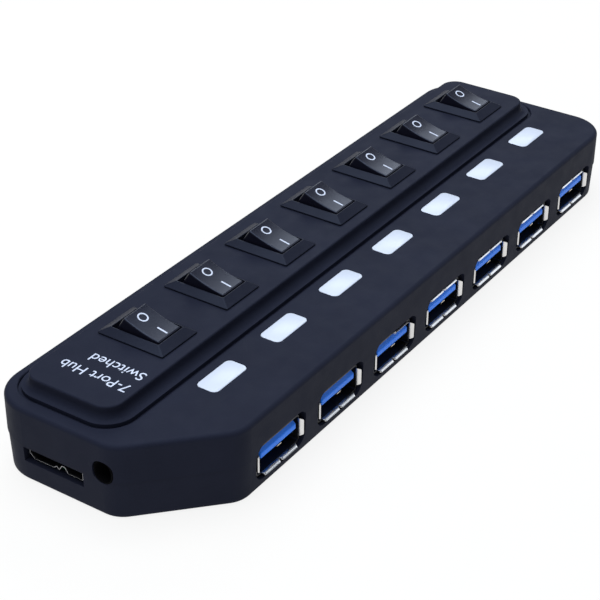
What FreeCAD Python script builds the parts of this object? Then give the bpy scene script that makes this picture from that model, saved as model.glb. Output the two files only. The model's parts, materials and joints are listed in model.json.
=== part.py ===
import FreeCAD, Part
import math
import os
import Sketcher

# Seven-port USB hub with one rocker switch per port.
# Frame: origin on the underside, in the middle of the case. +X runs along the length, away from the
# connector end; -Y is the side with the seven ports; +Z is up. Millimetres.

doc = FreeCAD.newDocument("usb_hub")
sheet = doc.addObject("Spreadsheet::Sheet", "Sizes")

DRIVING_SIZES = {
    # case
    "case_length": 161.6, "case_width": 44.2, "deck_top": 15.6, "parting": 7.9, "wall": 1.8,
    "corner_radius": 8.4, "bevel_reach": 60.47, "bevel_angle": -43.56, "bevel_round": 6.0,
    "seam_inset": 0.15, "foot_inset": 0.45, "foot_round": 0.6, "deck_round": 0.9,
    "lap_height": 1.1, "lap_inset": 1.0, "lap_gap": 0.1,
    # raised platform that carries the switches
    "platform_length": 152.05, "platform_width": 20.3, "platform_top": 18.6, "platform_round": 3.6,
    "platform_shift": 0.2, "platform_middle": 7.55, "platform_edge": 0.35, "cove": 1.42,
    "ledge_length": 156.0, "ledge_width": 24.0, "ledge_height": 0.3, "ledge_round": 5.8,
    "ledge_shift": 0.7, "ledge_middle": 7.65,
    "groove_width": 0.6, "groove_depth": 0.55, "groove_round": 0.3,
    # row of ports, windows and switches
    "pitch": 19.47, "row_middle": 5.5, "count": 7,
    "port_wide": 15.4, "port_tall": 7.85, "port_level": 5.42, "port_shift": 0.3, "port_round": 2.4,
    "window_long": 10.2, "window_wide": 4.74, "window_round": 1.2, "window_middle": -9.21,
    "hole_gap": 0.05,
    # receptacle
    "socket_level": 5.15, "shell_wide": 13.4, "shell_tall": 6.0, "shell_sheet": 0.3, "shell_deep": 13.9,
    "mouth_recess": 0.1, "flare_reach": 0.95, "mouth_span": 14.3, "mouth_height": 6.4,
    "long_flare": 5.3, "side_flare": 1.8, "seam_wide": 0.15,
    "tongue_wide": 11.1, "tongue_thick": 1.84, "tongue_level": 6.4, "tongue_recess": 0.75,
    "block_deep": 2.0, "block_wide": 12.3, "block_tall": 4.9,
    "contact_wide": 0.9, "contact_thick": 0.2, "contact_long": 8.6, "contact_pitch": 2.2,
    "pad_wide": 0.7, "pad_long": 2.4, "pad_pitch": 1.9,
    # rocker switches
    "switch_middle": 7.5, "bezel_long": 15.0, "bezel_wide": 10.5, "bezel_rim": 0.35, "bezel_tall": 1.35,
    "mouth_long": 10.8, "mouth_wide": 7.2, "mouth_land": 0.12,
    "frame_long": 13.2, "frame_wide": 8.5, "frame_deep": 10.2,
    "well_long": 11.7, "well_wide": 7.2, "well_top": 18.2, "well_floor": 13.8,
    "pivot_level": 17.16, "rocker_wide": 6.4, "rocker_tilt": 16.0, "rocker_top_half": 4.15,
    "rocker_waist_half": 5.22, "rocker_rise": 4.3, "rocker_waist": 0.5, "rocker_drop": 1.4,
    "rocker_hollow": 27.0, "axle_radius": 0.9, "axle_long": 8.1, "axle_gap": 0.05,
    "blade_wide": 2.0, "blade_thick": 0.6, "blade_spread": 7.0,
    # board
    "board_low": 3.2, "board_thick": 1.6, "board_inset": 2.6, "notch_wide": 13.6, "notch_back": -7.3,
    "post_radius": 1.5, "rest_front": -14.0, "rest_back": 16.5,
    "chip_size": 9.0, "chip_tall": 1.0, "crystal_wide": 4.7, "crystal_long": 11.4, "crystal_tall": 3.4,
    "can_place": -63.5, "can_front": 3.5, "can_back": 13.0, "can_radius": 3.15, "can_tall": 7.0,
    "lamp_long": 1.6, "lamp_wide": 0.8, "lamp_tall": 0.6, "lamp_place": -2.0, "lamp_gap": 0.2,
    "guide_thick": 1.1, "guide_wide": 4.0,
    # connector end
    "uplink_middle": 7.1, "uplink_cut_wide": 13.6, "uplink_cut_tall": 3.1, "uplink_cut_level": 5.75,
    "uplink_recess": 1.0, "uplink_deep": 6.5, "uplink_low": 4.8, "uplink_tall": 2.1,
    "uplink_large": 7.0, "uplink_small": 4.2, "uplink_gap": 1.0, "uplink_sheet": 0.25,
    "uplink_tongue": 0.5, "uplink_block": 1.5,
    "power_middle": -4.25, "power_level": 9.45, "power_hole_wide": 4.2, "power_hole_tall": 4.7,
    "power_hole_round": 1.95, "power_bore": 2.1, "power_pin": 0.65, "power_pin_long": 6.4,
    "power_body_wide": 5.6, "power_body_long": 10.0, "power_setback": 4.5, "power_trim": 1.6,
    # fastening
    "boss_far": 74.6, "boss_back": 16.2, "boss_front": -16.4, "boss_bevel_x": -66.8, "boss_bevel_y": -12.0,
    "boss_radius": 2.6, "boss_extra": 0.4, "screw_hole": 1.35, "screw_sink": 2.3, "screw_sink_deep": 2.2,
    "screw_pilot": 1.0, "screw_pilot_deep": 4.0, "screw_radius": 1.0, "screw_head": 2.0,
    "screw_head_tall": 1.4, "screw_long": 9.5, "screw_slot": 0.5,
}
for row, (alias, number) in enumerate(DRIVING_SIZES.items(), start=1):
    sheet.set(f"A{row}", alias)
    sheet.set(f"B{row}", str(number))
    sheet.setAlias(f"B{row}", alias)
doc.recompute()


class Dim:
    """A size that knows both its number and the sheet expression it comes from."""

    def __init__(self, value, text):
        self.value = value
        self.text = text

    def _join(self, other, sign, value):
        text = other.text if isinstance(other, Dim) else repr(other)
        return Dim(value, f"({self.text} {sign} {text})")

    def __add__(self, other):
        return self._join(other, "+", self.value + float(other))

    def __sub__(self, other):
        return self._join(other, "-", self.value - float(other))

    def __mul__(self, other):
        return self._join(other, "*", self.value * float(other))

    def __truediv__(self, other):
        return self._join(other, "/", self.value / float(other))

    def __neg__(self):
        return self * -1

    def __float__(self):
        return float(self.value)


class Sheet:
    """Reads a cell of the sheet by its alias, as a Dim."""

    def __getattr__(self, alias):
        return Dim(float(sheet.get(alias)), f"Sizes.{alias}")


S = Sheet()
ZERO = Dim(0.0, "0")
TOUCH = 0.001
FOOT_STEPS = 4
HALF_LENGTH = S.case_length / 2
HALF_WIDTH = S.case_width / 2
SCREW_SPOTS = (
    (S.boss_far, S.boss_back),
    (-S.boss_far, S.boss_back),
    (S.boss_far, S.boss_front),
    (S.boss_bevel_x, S.boss_bevel_y),
)
PORTS = range(1, int(S.count.value) + 1)
MIDDLE_PORT = (len(PORTS) + 1) / 2


def root(dim):
    return Dim(math.sqrt(dim.value), f"sqrt({dim.text})")


def port_x(index):
    return S.row_middle + S.pitch * (index - MIDDLE_PORT)


def socket_x(index):
    return port_x(index) + S.port_shift


# ---------------------------------------------------------------- PartDesign helpers

def new_body(label):
    body = doc.addObject("PartDesign::Body", label)
    body.Label = label
    return body


def origin_item(body, role):
    return next(item for item in body.Origin.OriginFeatures if item.Role == role)


def new_sketch(body, name, plane="XY_Plane", at=(ZERO, ZERO, ZERO)):
    sketch = body.newObject("Sketcher::SketchObject", name)
    sketch.AttachmentSupport = [(origin_item(body, plane), "")]
    sketch.MapMode = "FlatFace"
    for axis, place in zip("xyz", at):
        sketch.setExpression(f"AttachmentOffset.Base.{axis}", place.text)
    return sketch


def named(sketch, constraint, name, dim):
    """Adds a constraint and binds it to the sheet."""
    number = sketch.addConstraint(constraint)
    sketch.renameConstraint(number, name)
    sketch.setExpression(f"Constraints.{name}", dim.text)


def closed_loop(sketch, corners, radii):
    """Draws a polygon whose corner k is rounded by radii[k] (None leaves it sharp).

    Returns the line and arc geometry numbers. Neighbours are joined by coincidence or tangency.
    """
    count = len(corners)
    points = [FreeCAD.Vector(x, y, 0) for x, y in corners]
    entry, leave, arcs = [], [], {}
    for k in range(count):
        before = (points[k - 1] - points[k]).normalize()
        after = (points[(k + 1) % count] - points[k]).normalize()
        cut = 0.0
        if radii[k]:
            cut = radii[k] / math.tan(before.getAngle(after) / 2)
        entry.append(points[k] + before * cut)
        leave.append(points[k] + after * cut)
    lines = []
    for k in range(count):
        segment = Part.LineSegment(leave[k], entry[(k + 1) % count])
        lines.append(sketch.addGeometry(segment, False))
    for k in range(count):
        if not radii[k]:
            sketch.addConstraint(Sketcher.Constraint("Coincident", lines[k - 1], 2, lines[k], 1))
            continue
        inward = ((entry[k] + leave[k]) * 0.5 - points[k]).normalize()
        half = (entry[k] - points[k]).getAngle(leave[k] - points[k]) / 2
        centre = points[k] + inward * (radii[k] / math.sin(half))
        start = math.atan2(entry[k].y - centre.y, entry[k].x - centre.x)
        finish = math.atan2(leave[k].y - centre.y, leave[k].x - centre.x)
        circle = Part.Circle(centre, FreeCAD.Vector(0, 0, 1), radii[k])
        arcs[k] = sketch.addGeometry(Part.ArcOfCircle(circle, start, finish), False)
        sketch.addConstraint(Sketcher.Constraint("Tangent", lines[k - 1], 2, arcs[k], 1))
        sketch.addConstraint(Sketcher.Constraint("Tangent", arcs[k], 2, lines[k], 1))
    return lines, arcs


def rectangle(sketch, wide, tall, radius=None, tag=""):
    """A rectangle centred on the sketch's own origin, with rounded corners if radius is given."""
    x = wide.value / 2
    y = tall.value / 2
    round_by = radius.value if radius else None
    lines, arcs = closed_loop(sketch, [(-x, -y), (x, -y), (x, y), (-x, y)], [round_by] * 4)
    bottom, right, top, left = lines
    for line in (bottom, top):
        sketch.addConstraint(Sketcher.Constraint("Horizontal", line))
    for line in (left, right):
        sketch.addConstraint(Sketcher.Constraint("Vertical", line))
    sketch.addConstraint(Sketcher.Constraint("Symmetric", bottom, 1, top, 1, -1, 1))
    named(sketch, Sketcher.Constraint("DistanceX", left, 1, right, 1, 2 * x), tag + "wide", wide)
    named(sketch, Sketcher.Constraint("DistanceY", bottom, 1, top, 1, 2 * y), tag + "tall", tall)
    if radius:
        first, *others = arcs.values()
        for arc in others:
            sketch.addConstraint(Sketcher.Constraint("Equal", first, arc))
        named(sketch, Sketcher.Constraint("Radius", first, round_by), tag + "corner", radius)


def circle(sketch, radius):
    ring = sketch.addGeometry(
        Part.Circle(FreeCAD.Vector(0, 0, 0), FreeCAD.Vector(0, 0, 1), radius.value), False)
    sketch.addConstraint(Sketcher.Constraint("Coincident", ring, 3, -1, 1))
    named(sketch, Sketcher.Constraint("Radius", ring, radius.value), "radius", radius)


def case_outline(sketch, inset, tag=""):
    """The case's plan: a rounded rectangle whose corner at the connectors and ports is cut off."""
    x = HALF_LENGTH - inset
    y = HALF_WIDTH - inset
    reach = S.bevel_reach - inset
    angle = math.radians(S.bevel_angle.value)
    along = FreeCAD.Vector(math.cos(angle), math.sin(angle), 0)
    outward = FreeCAD.Vector(along.y, -along.x, 0)
    foot = outward * reach.value
    high = foot + along * ((-x.value - foot.x) / along.x)
    low = foot + along * ((-y.value - foot.y) / along.y)
    corner = S.corner_radius - inset
    bevel = S.bevel_round - inset
    corners = [(low.x, -y.value), (x.value, -y.value), (x.value, y.value),
               (-x.value, y.value), (-x.value, high.y)]
    radii = [bevel.value] + [corner.value] * 3 + [bevel.value]
    lines, arcs = closed_loop(sketch, corners, radii)
    front, right, back, left, slope = lines
    for line in (front, back):
        sketch.addConstraint(Sketcher.Constraint("Horizontal", line))
    for line in (left, right):
        sketch.addConstraint(Sketcher.Constraint("Vertical", line))
    named(sketch, Sketcher.Constraint("DistanceX", left, 1, -1, 1, x.value), tag + "left", x)
    named(sketch, Sketcher.Constraint("DistanceX", -1, 1, right, 1, x.value), tag + "right", x)
    named(sketch, Sketcher.Constraint("DistanceY", front, 1, -1, 1, y.value), tag + "front", y)
    named(sketch, Sketcher.Constraint("DistanceY", -1, 1, back, 1, y.value), tag + "back", y)
    named(sketch, Sketcher.Constraint("Distance", -1, 1, slope, reach.value), tag + "reach", reach)
    sketch.addConstraint(Sketcher.Constraint("Angle", slope, angle))
    for arc, name, radius in ((1, "corner", corner), (0, "bevel", bevel)):
        named(sketch, Sketcher.Constraint("Radius", arcs[arc], radius.value), tag + name, radius)
    sketch.addConstraint(Sketcher.Constraint("Equal", arcs[1], arcs[2]))
    sketch.addConstraint(Sketcher.Constraint("Equal", arcs[1], arcs[3]))
    sketch.addConstraint(Sketcher.Constraint("Equal", arcs[0], arcs[4]))


def pad(body, sketch, length, name):
    feature = body.newObject("PartDesign::Pad", name)
    feature.Profile = sketch
    feature.setExpression("Length", length.text)
    doc.recompute()
    return feature


def pocket(body, sketch, length, name, upwards=False, both_ways=False):
    """Cuts along the sketch's normal if upwards, against it otherwise, or both ways from the middle."""
    before = body.Shape.Volume
    feature = body.newObject("PartDesign::Pocket", name)
    feature.Profile = sketch
    feature.Reversed = upwards
    if both_ways:
        feature.SideType = "Symmetric"
    feature.setExpression("Length", length.text)
    doc.recompute()
    if body.Shape.Volume >= before:
        raise RuntimeError(f"{name} cuts nothing")
    return feature


def along_row(body, feature, name):
    """Repeats a feature of the first port at every port."""
    pattern = body.newObject("PartDesign::LinearPattern", name)
    pattern.Originals = [feature]
    pattern.Direction = (origin_item(body, "X_Axis"), [""])
    pattern.setExpression("Length", (S.pitch * (len(PORTS) - 1)).text)
    pattern.Occurrences = len(PORTS)
    body.Tip = pattern
    doc.recompute()
    return pattern


def edges_at(shape, level, inside=None, outside=None):
    """Names of the level edges at a height, inside or outside a rectangle (long, wide, x, y)."""
    names = []
    for number, edge in enumerate(shape.Edges, start=1):
        limits = edge.BoundBox
        if limits.ZLength > TOUCH or abs(limits.ZMin - level.value) > TOUCH:
            continue
        if inside and not lies_inside(limits, inside):
            continue
        if outside and lies_inside(limits, outside):
            continue
        names.append(f"Edge{number}")
    return names


def lies_inside(limits, rectangle_size):
    long, wide, x, y = (float(size) for size in rectangle_size)
    along = max(limits.XMax - x, x - limits.XMin) < long / 2 + TOUCH
    return along and max(limits.YMax - y, y - limits.YMin) < wide / 2 + TOUCH


def fillet(body, base, edges, radius, name):
    feature = body.newObject("PartDesign::Fillet", name)
    feature.Base = (base, edges)
    feature.setExpression("Radius", radius.text)
    doc.recompute()
    return feature


# ---------------------------------------------------------------- Part helpers

def place(obj, at):
    for axis, dim in zip("xyz", at):
        obj.setExpression(f"Placement.Base.{axis}", dim.text)


def box(name, size, centre):
    """A box of size (x, y, z) about its centre."""
    solid = doc.addObject("Part::Box", name)
    for prop, dim in zip(("Length", "Width", "Height"), size):
        solid.setExpression(prop, dim.text)
    place(solid, [middle - extent / 2 for middle, extent in zip(centre, size)])
    return solid


def rod(name, radius, length, start, axis="z"):
    """A cylinder that starts at a point and runs along +X, +Y or +Z."""
    turns = {
        "x": FreeCAD.Rotation(FreeCAD.Vector(0, 1, 0), 90),
        "y": FreeCAD.Rotation(FreeCAD.Vector(1, 0, 0), -90),
        "z": FreeCAD.Rotation(),
    }
    solid = doc.addObject("Part::Cylinder", name)
    solid.setExpression("Radius", radius.text)
    solid.setExpression("Height", length.text)
    solid.Placement = FreeCAD.Placement(FreeCAD.Vector(), turns[axis])
    place(solid, start)
    return solid


def frustum(name, near_size, far_size, near, far, upright=True):
    """A rectangular pyramid without its tip, upright along Z or lying along Y, centred on that axis.

    near_size and far_size are its (x, other) sizes at the positions near and far along the axis. A
    wedge narrows along its own Y, so an upright one is turned by 90 degrees.
    """
    solid = doc.addObject("Part::Wedge", name)
    halves = {"X": near_size[0] / 2, "X2": far_size[0] / 2, "Z": near_size[1] / 2, "Z2": far_size[1] / 2}
    for prop, half in halves.items():
        solid.setExpression(prop + "min", (-half).text)
        solid.setExpression(prop + "max", half.text)
    solid.setExpression("Ymin", near.text)
    solid.setExpression("Ymax", far.text)
    if upright:
        turn = FreeCAD.Rotation(FreeCAD.Vector(1, 0, 0), 90)
        solid.Placement = FreeCAD.Placement(FreeCAD.Vector(), turn)
    return solid


def fuse(label, pieces):
    joined = doc.addObject("Part::MultiFuse", label)
    joined.Shapes = pieces
    joined.Refine = True
    joined.Label = label
    return joined


def cut(label, base, tool):
    result = doc.addObject("Part::Cut", label)
    result.Base = base
    result.Tool = tool
    result.Label = label
    return result


def group(label, pieces):
    """Separate solids that share one node."""
    bundle = doc.addObject("Part::Compound", label)
    bundle.Links = pieces
    bundle.Label = label
    return bundle


# ---------------------------------------------------------------- case

def cut_case_openings(body):
    """Port openings along the front, and the openings at the connector end."""
    reach = S.wall * 4
    spot = (socket_x(1), S.port_level, HALF_WIDTH)
    sketch = new_sketch(body, body.Label + "_port_sketch", "XZ_Plane", spot)
    rectangle(sketch, S.port_wide, S.port_tall, S.port_round)
    first = pocket(body, sketch, reach, body.Label + "_port", both_ways=True)
    along_row(body, first, body.Label + "_ports")
    spot = (S.power_middle, S.power_level, -HALF_LENGTH)
    sketch = new_sketch(body, body.Label + "_power_sketch", "YZ_Plane", spot)
    rectangle(sketch, S.power_hole_wide, S.power_hole_tall, S.power_hole_round)
    pocket(body, sketch, reach, body.Label + "_power", both_ways=True)


def add_posts(body, spots, radius, low, high, what):
    for number, (x, y) in enumerate(spots, start=1):
        sketch = new_sketch(body, f"{body.Label}_{what}_sketch_{number}", at=(x, y, low))
        circle(sketch, radius)
        pad(body, sketch, high - low, f"{body.Label}_{what}_{number}")


def drill(body, spots, radius, low, high, what):
    for number, (x, y) in enumerate(spots, start=1):
        sketch = new_sketch(body, f"{body.Label}_{what}_sketch_{number}", at=(x, y, low))
        circle(sketch, radius)
        pocket(body, sketch, high - low, f"{body.Label}_{what}_{number}", upwards=True)


def make_top_cover():
    """Upper shell: deck, raised switch platform and the upper half of the walls."""
    body = new_body("top_cover")
    sketch = new_sketch(body, "deck_sketch", at=(ZERO, ZERO, S.parting))
    case_outline(sketch, ZERO)
    pad(body, sketch, S.deck_top - S.parting, "deck")
    sketch = new_sketch(body, "ledge_sketch", at=(S.ledge_shift, S.ledge_middle, S.deck_top))
    rectangle(sketch, S.ledge_length, S.ledge_width, S.ledge_round)
    pad(body, sketch, S.ledge_height, "ledge")
    ledge = (S.ledge_length, S.ledge_width, S.ledge_shift, S.ledge_middle)
    platform = (S.platform_length, S.platform_width, S.platform_shift, S.platform_middle)
    sketch = new_sketch(body, "platform_sketch", at=(S.platform_shift, S.platform_middle, S.deck_top))
    rectangle(sketch, S.platform_length, S.platform_width, S.platform_round)
    solid = pad(body, sketch, S.platform_top - S.deck_top, "platform")

    underside = [f"Face{k}" for k, face in enumerate(solid.Shape.Faces, start=1)
                 if face.BoundBox.ZMax < S.parting.value + TOUCH]
    skin = body.newObject("PartDesign::Thickness", "skin")
    skin.Base = (solid, underside)
    skin.Reversed = True
    skin.Join = "Intersection"
    skin.setExpression("Value", S.wall.text)
    doc.recompute()

    foot = edges_at(skin.Shape, S.deck_top + S.ledge_height, inside=platform)
    coved = fillet(body, skin, foot, S.cove, "cove_round_platform")
    rim = edges_at(coved.Shape, S.deck_top, outside=ledge)
    coved = fillet(body, coved, rim, S.deck_round, "deck_rim")
    rim = edges_at(coved.Shape, S.platform_top)
    fillet(body, coved, rim, S.platform_edge, "platform_rim")

    sketch = new_sketch(body, "groove_sketch", at=(S.ledge_shift, S.ledge_middle, S.deck_top))
    wider = S.groove_width * 2
    rectangle(sketch, S.ledge_length, S.ledge_width, S.ledge_round, "inner_")
    rectangle(sketch, S.ledge_length + wider, S.ledge_width + wider, S.ledge_round + S.groove_width, "outer_")
    groove = pocket(body, sketch, S.groove_depth, "groove")
    around = (S.ledge_length + wider, S.ledge_width + wider, S.ledge_shift, S.ledge_middle)
    rim = edges_at(groove.Shape, S.deck_top, inside=around)
    fillet(body, groove, rim, S.groove_round, "groove_rim")

    sketch = new_sketch(body, "lap_sketch", at=(ZERO, ZERO, S.parting))
    case_outline(sketch, S.lap_inset - S.lap_gap)
    pocket(body, sketch, S.lap_height + S.lap_gap, "lap", upwards=True)

    sketch = new_sketch(body, "window_sketch", at=(port_x(1), S.window_middle, S.deck_top))
    rectangle(sketch, S.window_long, S.window_wide, S.window_round)
    along_row(body, pocket(body, sketch, S.wall * 2, "window"), "windows")
    sketch = new_sketch(body, "switch_sketch", at=(port_x(1), S.switch_middle, S.platform_top))
    spare = S.hole_gap * 4
    rectangle(sketch, S.frame_wide + spare, S.frame_long + spare)
    along_row(body, pocket(body, sketch, S.wall * 2, "switch_hole"), "switch_holes")
    cut_case_openings(body)

    ceiling = S.deck_top - S.wall / 2
    add_posts(body, SCREW_SPOTS, S.boss_radius, S.parting, ceiling, "boss")
    drill(body, SCREW_SPOTS, S.screw_pilot, S.parting, S.parting + S.screw_pilot_deep, "pilot")
    return body


def make_bottom_cover():
    """Lower shell: the tray that the board rests in, slightly smaller at its foot than at the seam."""
    body = new_body("bottom_cover")
    sections = []
    for step in range(FOOT_STEPS + 1):
        turn = math.radians(90 / FOOT_STEPS * step)
        level = S.foot_round * (1 - math.cos(turn))
        sections.append((level, S.foot_inset + S.foot_round * (1 - math.sin(turn))))
    sections.append((S.parting, S.seam_inset))
    sketches = []
    for number, (level, inset) in enumerate(sections):
        sketch = new_sketch(body, f"tray_sketch_{number}", at=(ZERO, ZERO, level))
        case_outline(sketch, inset)
        sketches.append(sketch)
    doc.recompute()
    tray = body.newObject("PartDesign::AdditiveLoft", "tray")
    tray.Profile = sketches[0]
    tray.Sections = sketches[1:]
    tray.Ruled = True
    doc.recompute()

    inside = S.wall + S.seam_inset
    sketch = new_sketch(body, "inside_sketch", at=(ZERO, ZERO, S.wall))
    case_outline(sketch, inside)
    pocket(body, sketch, S.parting, "inside", upwards=True)
    sketch = new_sketch(body, "lip_sketch", at=(ZERO, ZERO, S.parting))
    case_outline(sketch, S.lap_inset, "outer_")
    case_outline(sketch, inside, "inner_")
    pad(body, sketch, S.lap_height, "lip")
    cut_case_openings(body)
    spot = (S.uplink_middle, S.uplink_cut_level, -HALF_LENGTH)
    sketch = new_sketch(body, "uplink_sketch", "YZ_Plane", spot)
    rectangle(sketch, S.uplink_cut_wide, S.uplink_cut_tall)
    pocket(body, sketch, S.wall * 4, "uplink", both_ways=True)

    between = [port_x(k) + S.pitch / 2 for k in PORTS[:-1]]
    rests = [(x, y) for x in between for y in (S.rest_front, S.rest_back)]
    add_posts(body, rests, S.post_radius, S.wall, S.board_low, "rest")
    add_posts(body, SCREW_SPOTS, S.boss_radius + S.boss_extra, S.wall, S.parting, "boss")
    drill(body, SCREW_SPOTS, S.screw_hole, ZERO, S.parting, "hole")
    drill(body, SCREW_SPOTS, S.screw_sink, ZERO, S.screw_sink_deep, "sink")
    return body


# ---------------------------------------------------------------- board and what is on it

BOARD_TOP = S.board_low + S.board_thick


def make_board():
    """Circuit board: notched at the front, because the sockets sit in it at half depth."""
    body = new_body("main_board")
    sketch = new_sketch(body, "board_sketch", at=(ZERO, ZERO, S.board_low))
    case_outline(sketch, S.board_inset)
    pad(body, sketch, S.board_thick, "board")
    deep = HALF_WIDTH + S.notch_back
    sketch = new_sketch(body, "notch_sketch", at=(socket_x(1), S.notch_back - deep / 2, BOARD_TOP))
    rectangle(sketch, S.notch_wide, deep)
    along_row(body, pocket(body, sketch, S.board_thick * 2, "notch"), "notches")
    drill(body, SCREW_SPOTS, S.boss_radius + S.boss_extra * 2, S.board_low, BOARD_TOP, "boss_hole")
    return body


def on_board(name, size, spot):
    """A component of size (x, y, z) that stands on the board at (x, y)."""
    return box(name, size, (spot[0], spot[1], BOARD_TOP + size[2] / 2))


def make_components():
    chip = (S.chip_size, S.chip_size, S.chip_tall)
    spots = [(port_x(k) + S.pitch / 2, S.switch_middle) for k in (2, 5)]
    group("hub_controllers", [on_board(f"hub_controller_{n}", chip, spot) for n, spot in enumerate(spots)])
    crystal = (S.crystal_wide, S.crystal_long, S.crystal_tall)
    on_board("crystal", crystal, (port_x(3) + S.pitch / 2, S.switch_middle))
    cans = []
    for number, y in enumerate((S.can_front, S.can_back)):
        start = (S.can_place, y, BOARD_TOP)
        cans.append(rod(f"capacitor_{number}", S.can_radius, S.can_tall, start))
    group("capacitors", cans)
    lamp = (S.lamp_long, S.lamp_wide, S.lamp_tall)
    group("indicator_leds", [on_board(f"led_{k}", lamp, (port_x(k), S.lamp_place)) for k in PORTS])
    blades = []
    blade_tall = S.platform_top - S.frame_deep - BOARD_TOP
    for k in PORTS:
        for side in (-1, 1):
            y = S.switch_middle + S.blade_spread / 2 * side
            size = (S.blade_wide, S.blade_thick, blade_tall)
            blades.append(on_board(f"blade_{k}_{side + 1}", size, (port_x(k), y)))
    group("switch_terminals", blades)


# ---------------------------------------------------------------- ports

MOUTH = -HALF_WIDTH + S.mouth_recess
TONGUE_FRONT = MOUTH + S.tongue_recess
SHELL_BACK = MOUTH + S.shell_deep
BLOCK_FRONT = SHELL_BACK - S.block_deep


def make_port_shell(k):
    """Folded metal shell with a flared lip at each side of its mouth and a split one at the bottom."""
    label = f"port_shell_{k}"
    thin = S.shell_sheet * 2
    deep = S.shell_deep - S.flare_reach
    middle = (ZERO, S.flare_reach + deep / 2, ZERO)
    tube = cut(label + "_tube", box(label + "_out", (S.shell_wide, deep, S.shell_tall), middle),
               box(label + "_in", (S.shell_wide - thin, deep * 2, S.shell_tall - thin), middle))
    outer = frustum(label + "_lip_out", (S.mouth_span, S.mouth_height), (S.shell_wide, S.shell_tall),
                    ZERO, S.flare_reach, upright=False)
    inner = frustum(label + "_lip_in", (S.mouth_span - thin, S.mouth_height - thin),
                    (S.shell_wide - thin, S.shell_tall - thin), ZERO, S.flare_reach, upright=False)
    lip = cut(label + "_lip", outer, inner)
    above = S.side_flare + S.shell_tall / 2
    slits = [box(label + "_slit_top", (S.mouth_span, S.flare_reach, S.shell_tall),
                 (ZERO, S.flare_reach / 2, above))]
    corner = (S.shell_wide, S.flare_reach, S.shell_tall)
    for side in (-1, 1):
        centre = ((S.long_flare + S.shell_wide / 2) * side, S.flare_reach / 2, -above)
        slits.append(box(f"{label}_slit_{side + 1}", corner, centre))
    seam = (S.seam_wide, S.flare_reach * 2, S.mouth_height * 2)
    slits.append(box(label + "_seam", seam, (ZERO, ZERO, ZERO)))
    tabs = cut(label + "_tabs", lip, fuse(label + "_slits", slits))
    shell = fuse(label, [tube, tabs])
    place(shell, (socket_x(k), MOUTH, S.socket_level))


def make_port_tongue(k):
    """Plastic insert: the tongue that carries the contacts, and the block behind it."""
    label = f"port_tongue_{k}"
    deep = BLOCK_FRONT - TONGUE_FRONT
    tongue = box(label + "_blade", (S.tongue_wide, deep, S.tongue_thick),
                 (ZERO, TONGUE_FRONT + deep / 2, S.tongue_level))
    block = box(label + "_block", (S.block_wide, S.block_deep, S.block_tall),
                (ZERO, BLOCK_FRONT + S.block_deep / 2, S.socket_level))
    insert = fuse(label, [tongue, block])
    place(insert, (socket_x(k), ZERO, ZERO))


def make_port_contacts():
    """Under each tongue: four long springs, and five short pads in front of them."""
    under = S.tongue_level - S.tongue_thick / 2 - S.contact_thick / 2
    pieces = []
    for k in PORTS:
        for step in (-1.5, -0.5, 0.5, 1.5):
            size = (S.contact_wide, S.contact_long, S.contact_thick)
            centre = (socket_x(k) + S.contact_pitch * step, BLOCK_FRONT - S.contact_long / 2, under)
            pieces.append(box(f"spring_{k}_{step + 1.5:.0f}", size, centre))
        for step in range(-2, 3):
            size = (S.pad_wide, S.pad_long, S.contact_thick)
            centre = (socket_x(k) + S.pad_pitch * step, TONGUE_FRONT + (S.pad_long + S.pad_wide) / 2, under)
            pieces.append(box(f"pad_{k}_{step + 2}", size, centre))
    group("port_contacts", pieces)


def make_light_window(k):
    """White light guide: a window flush with the deck, and a leg that stands over the port's LED."""
    body = new_body(f"light_window_{k}")
    body.setExpression("Placement.Base.x", port_x(k).text)
    under_deck = S.deck_top - S.wall - S.hole_gap
    flange_low = under_deck - S.guide_thick
    spot = (ZERO, S.window_middle, under_deck)
    sketch = new_sketch(body, body.Label + "_window_sketch", at=spot)
    spare = S.hole_gap * 2
    rectangle(sketch, S.window_long - spare, S.window_wide - spare, S.window_round)
    pad(body, sketch, S.deck_top - under_deck, body.Label + "_window")
    back = S.lamp_place + S.guide_thick / 2
    front = S.window_middle - S.window_wide / 2 - S.guide_thick / 2
    deep = back - front
    sketch = new_sketch(body, body.Label + "_arm_sketch", at=(ZERO, front + deep / 2, flange_low))
    rectangle(sketch, S.window_long - S.guide_thick * 2, deep)
    pad(body, sketch, S.guide_thick, body.Label + "_arm")
    leg_foot = BOARD_TOP + S.lamp_tall + S.lamp_gap
    sketch = new_sketch(body, body.Label + "_leg_sketch", at=(ZERO, S.lamp_place, leg_foot))
    rectangle(sketch, S.guide_wide, S.guide_thick)
    pad(body, sketch, flange_low - leg_foot, body.Label + "_leg")


# ---------------------------------------------------------------- rocker switches

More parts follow.
